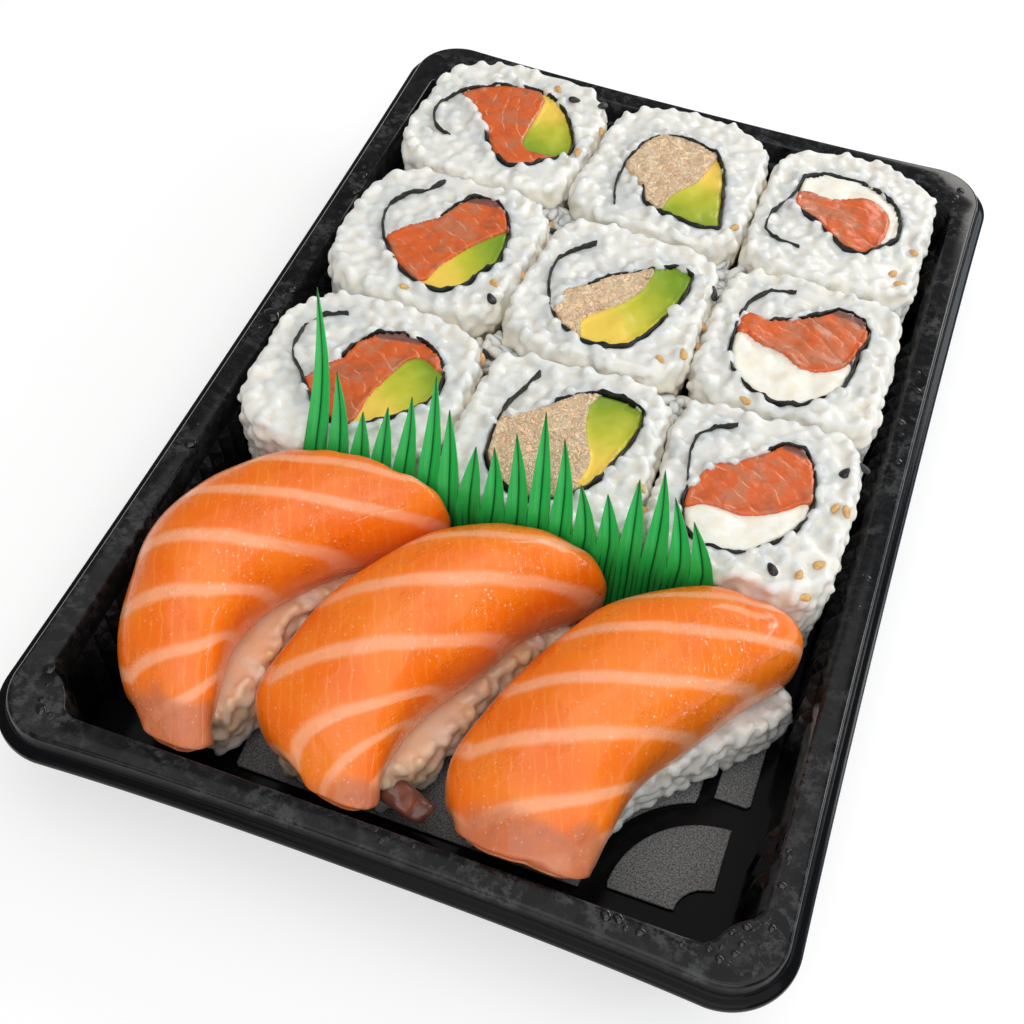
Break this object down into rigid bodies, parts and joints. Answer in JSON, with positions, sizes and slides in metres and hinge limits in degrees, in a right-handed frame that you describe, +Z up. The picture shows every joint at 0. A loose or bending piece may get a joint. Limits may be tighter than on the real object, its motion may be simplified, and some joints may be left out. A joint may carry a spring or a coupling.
{
  "type": "takeaway sushi tray",
  "caption": "Black plastic takeaway tray filled with rice-outside sushi rolls and salmon nigiri, with a green plastic grass divider between them.",
  "frame": {"origin": "middle of the tray's flat foot, on the table", "axes": "+Z up; +Y along the tray's length, from the nigiri end to the roll end; +X to the right seen from the nigiri end"},
  "size_m": [0.1462, 0.2168, 0.0564],
  "materials": {
    "tray_black": "glossy black thermoformed plastic",
    "grass_green": "satin green plastic film",
    "rice": "soft, slightly translucent white rice",
    "seaweed": "near-black dried seaweed",
    "salmon": "moist raw salmon, cut across the grain",
    "salmon_slab": "moist raw salmon slice with pale stripes",
    "tuna": "matte shredded cooked tuna",
    "avocado": "smooth ripe avocado, yellow to green",
    "cream_cheese": "smooth cream cheese"
  },
  "bodies": {
    "root": {"tray": "tray_black", "grass_divider": "grass_green", "rice_back_left": "rice", "seaweed_back_left": "seaweed", "salmon_back_left": "salmon", "avocado_back_left": "avocado", "rice_back_middle": "rice", "seaweed_back_middle": "seaweed", "tuna_back_middle": "tuna", "avocado_back_middle": "avocado", "rice_back_right": "rice", "seaweed_back_right": "seaweed", "salmon_back_right": "salmon", "cream_cheese_back_right": "cream_cheese", "rice_middle_left": "rice", "seaweed_middle_left": "seaweed", "salmon_middle_left": "salmon", "avocado_middle_left": "avocado", "rice_middle": "rice", "seaweed_middle": "seaweed", "tuna_middle": "tuna", "avocado_middle": "avocado", "rice_middle_right": "rice", "seaweed_middle_right": "seaweed", "salmon_middle_right": "salmon", "cream_cheese_middle_right": "cream_cheese", "rice_front_left": "rice", "seaweed_front_left": "seaweed", "salmon_front_left": "salmon", "avocado_front_left": "avocado", "rice_front_middle": "rice", "seaweed_front_middle": "seaweed", "tuna_front_middle": "tuna", "avocado_front_middle": "avocado", "rice_front_right": "rice", "seaweed_front_right": "seaweed", "salmon_front_right": "salmon", "cream_cheese_front_right": "cream_cheese", "nigiri_rice_left": "rice", "fish_left": "salmon_slab", "nigiri_rice_middle": "rice", "fish_middle": "salmon_slab", "nigiri_rice_right": "rice", "fish_right": "salmon_slab"}
  },
  "joints": []
}
